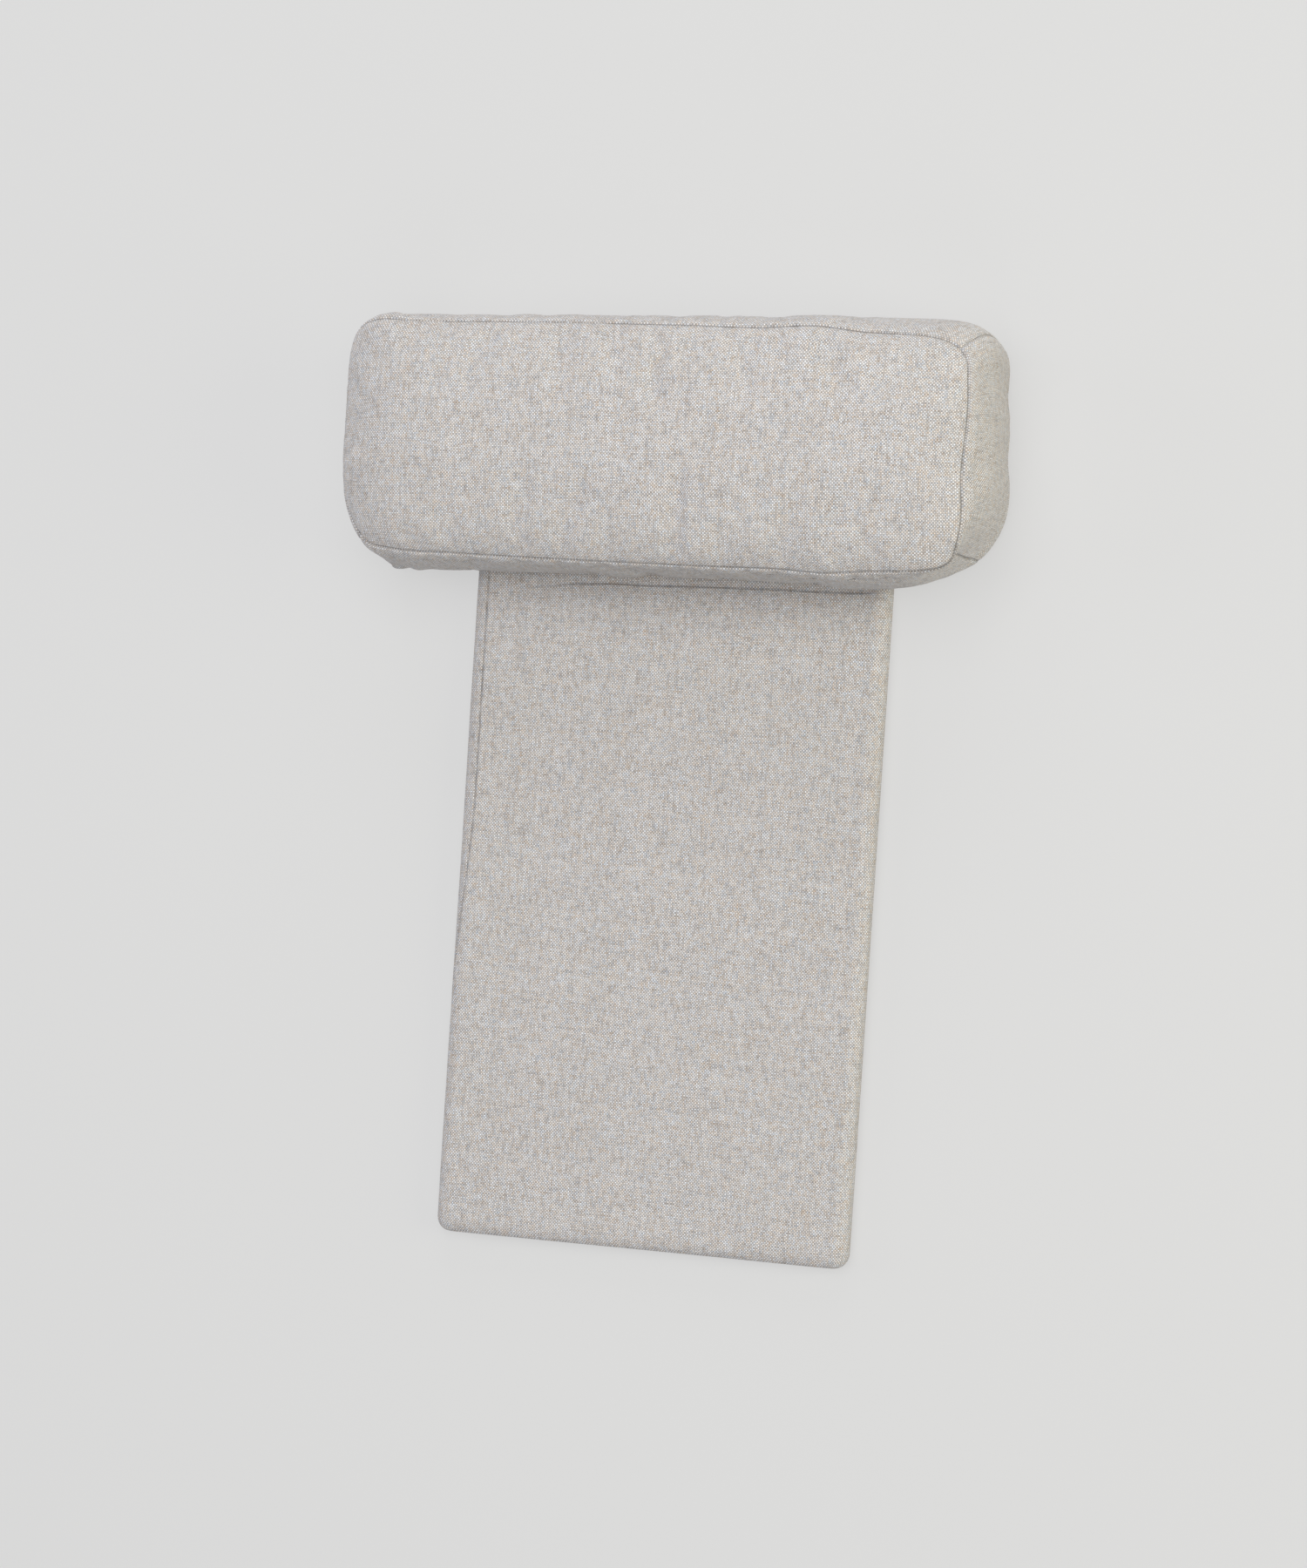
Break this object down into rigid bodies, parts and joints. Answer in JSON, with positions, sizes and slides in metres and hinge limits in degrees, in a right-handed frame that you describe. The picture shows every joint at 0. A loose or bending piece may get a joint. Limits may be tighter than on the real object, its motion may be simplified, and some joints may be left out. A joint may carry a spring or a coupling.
{
  "type": "sofa headrest pillow",
  "caption": "Stuffed box cushion on a long flat padded flap that slides behind a sofa's back cushion and holds the headrest at its top edge.",
  "frame": {"origin": "on the surface that it lies on, under the middle of the whole headrest", "axes": "+Z out of the face, +Y from the flap's free end towards the cushion, +X to the right as seen from the front"},
  "size_m": [0.454, 0.643, 0.125],
  "materials": {
    "cushion_cover": "heathered light warm-grey plain-weave upholstery cloth, matt",
    "flap_cover": "heathered light warm-grey plain-weave upholstery cloth, matt"
  },
  "bodies": {
    "root": {"cushion": "cushion_cover", "flap": "flap_cover"}
  },
  "joints": []
}
